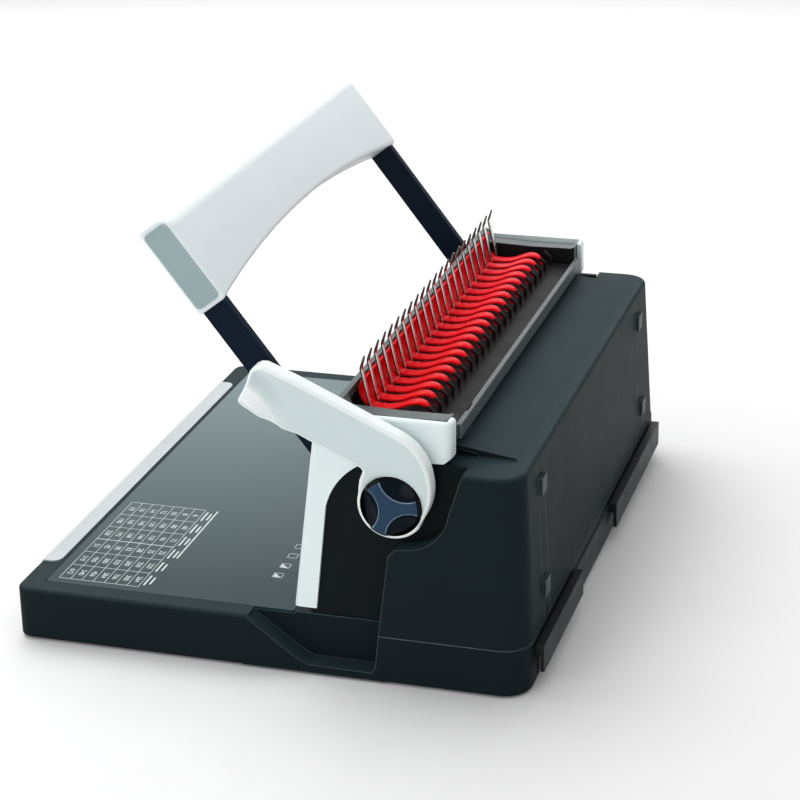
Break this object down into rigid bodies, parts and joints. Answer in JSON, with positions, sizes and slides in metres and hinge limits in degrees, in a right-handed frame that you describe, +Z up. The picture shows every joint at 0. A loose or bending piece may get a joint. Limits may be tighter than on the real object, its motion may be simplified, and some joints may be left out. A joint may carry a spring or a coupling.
{
  "type": "comb binding machine",
  "caption": "Desktop comb binding machine with a flat paper tray, raised D-handle, side opener lever and knob, steel fingers and a red plastic comb on them.",
  "frame": {"origin": "bottom centre of the bounding box, on the resting plane", "axes": "+X along the machine towards the lever end, +Y from the user towards the rear, +Z up"},
  "size_m": [0.4, 0.333, 0.2718],
  "materials": {
    "charcoal_shell": "fine satin grain, charcoal",
    "deck_panel": "smooth satin, charcoal grey with pale printed chart",
    "silver_trim": "satin silver paint",
    "black_sheet": "black powder coat",
    "zinc_screw": "zinc plated",
    "foot_rubber": "matt",
    "tool_steel": "ground",
    "dark_cheek": "near-black satin",
    "silver_shell": "satin silver paint",
    "platform_grey": "satin mid grey",
    "polished_steel": "polished",
    "zinc_sheet": "zinc plated sheet",
    "dark_steel": "blackened sheet steel",
    "bush_plastic": "black acetal",
    "charcoal_lug": "satin",
    "navy_arm": "gloss black-navy enamel",
    "silver_grip": "satin silver-white paint",
    "grip_cap": "satin grey",
    "navy_knob": "gloss navy",
    "black_drawer": "satin black",
    "red_comb": "gloss red vinyl"
  },
  "bodies": {
    "frame": {"base_tray": "charcoal_shell", "tray_top_panel": "deck_panel", "front_trim_strip": "silver_trim", "bottom_plate": "black_sheet", "bottom_screws": "zinc_screw", "rubber_feet": "foot_rubber", "lower_die": "tool_steel", "upper_die": "tool_steel", "rear_housing": "charcoal_shell", "cheek_right": "dark_cheek", "cheek_left": "dark_cheek", "end_frame_right": "silver_shell", "end_frame_left": "silver_shell", "front_fascia": "dark_cheek", "comb_platform": "platform_grey", "comb_fingers": "polished_steel", "mech_plate_right": "zinc_sheet", "mech_plate_left": "zinc_sheet", "shaft_bushes": "bush_plastic", "tie_rods": "zinc_sheet", "rear_lugs": "charcoal_lug"},
    "handle": {"handle_arm_right": "navy_arm", "handle_arm_left": "navy_arm", "handle_shaft": "tool_steel", "handle_pinions": "tool_steel", "handle_grip": "silver_grip", "grip_cap_right": "grip_cap", "grip_cap_left": "grip_cap"},
    "punch": {"punch_bar": "tool_steel", "punch_pins": "tool_steel", "punch_racks": "tool_steel"},
    "lever": {"opener_lever": "silver_shell", "lever_shaft": "tool_steel", "opener_pinion": "tool_steel"},
    "opener": {"hook_plate": "dark_steel", "opener_rack": "tool_steel"},
    "knob": {"margin_knob": "navy_knob", "knob_spindle": "bush_plastic"},
    "stop": {"margin_stop": "zinc_sheet"},
    "drawer": {"drawer_floor": "black_drawer", "drawer_walls": "black_drawer", "drawer_lip": "black_drawer"},
    "comb": {"binding_comb": "red_comb"}
  },
  "joints": [
    {"name": "handle_pivot", "type": "hinge", "parent": "frame", "child": "handle", "pos_m": [0, 0.08, 0.07], "axis": [1, 0, 0], "range_deg": [0, 45], "stiffness_Nm_per_rad": 2, "springref_deg": -68.75},
    {"name": "punch_slide", "type": "slide", "parent": "frame", "child": "punch", "axis": [0, 0, -1], "range_m": [0, 0.0125]},
    {"name": "lever_pivot", "type": "hinge", "parent": "frame", "child": "lever", "pos_m": [0, 0.0782, 0.1156], "axis": [1, 0, 0], "range_deg": [-43, 0]},
    {"name": "opener_slide", "type": "slide", "parent": "frame", "child": "opener", "axis": [0, 1, 0], "range_m": [-0.0115, 0]},
    {"name": "knob_turn", "type": "hinge", "parent": "frame", "child": "knob", "pos_m": [0, 0.0782, 0.1156], "axis": [1, 0, 0], "range_deg": [0, 180]},
    {"name": "margin_slide", "type": "slide", "parent": "frame", "child": "stop", "axis": [0, -1, 0], "range_m": [0, 0.0031]},
    {"name": "drawer_slide", "type": "slide", "parent": "frame", "child": "drawer", "axis": [0, 1, 0], "range_m": [0, 0.12]},
    {"name": "comb_lift", "type": "slide", "parent": "frame", "child": "comb", "axis": [0, -0.2195, 0.9756], "range_m": [0, 0.04]}
  ],
  "couplings": [
    {"joint": "punch_slide", "follows": "handle_pivot", "m_per_rad": 0.0153},
    {"joint": "opener_slide", "follows": "lever_pivot", "m_per_rad": 0.015},
    {"joint": "margin_slide", "follows": "knob_turn", "m_per_rad": 0.000955}
  ]
}
